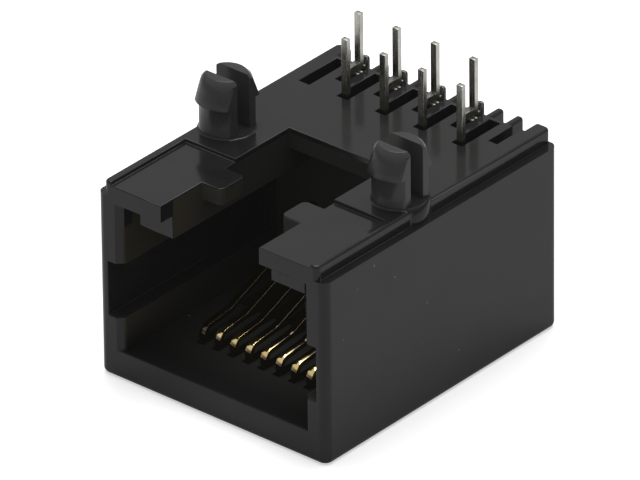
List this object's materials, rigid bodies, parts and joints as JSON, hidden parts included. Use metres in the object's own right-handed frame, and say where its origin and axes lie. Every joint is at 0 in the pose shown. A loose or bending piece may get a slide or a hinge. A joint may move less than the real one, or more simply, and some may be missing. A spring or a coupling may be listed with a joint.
{
  "type": "modular jack",
  "caption": "Right-angle board jack for a small modular plug, with snap-in posts, solder tails and sprung contacts in a moulded plastic housing.",
  "frame": {"origin": "middle of the underside of the jack as pictured, which is its flat back when it is on a board", "axes": "+Z towards the circuit board, along the posts and solder tails; +Y from the mating face into the jack, the way a plug is pushed in; X across the plug opening"},
  "size_m": [0.0152, 0.0184, 0.0147],
  "materials": {
    "housing_plastic": "satin to glossy black moulded plastic",
    "contact_metal": "bright tin on the solder tails, gold on the springs"
  },
  "bodies": {
    "root": {"housing": "housing_plastic", "contact_1": "contact_metal", "contact_2": "contact_metal", "contact_3": "contact_metal", "contact_4": "contact_metal", "contact_5": "contact_metal", "contact_6": "contact_metal", "contact_7": "contact_metal", "contact_8": "contact_metal"}
  },
  "joints": []
}
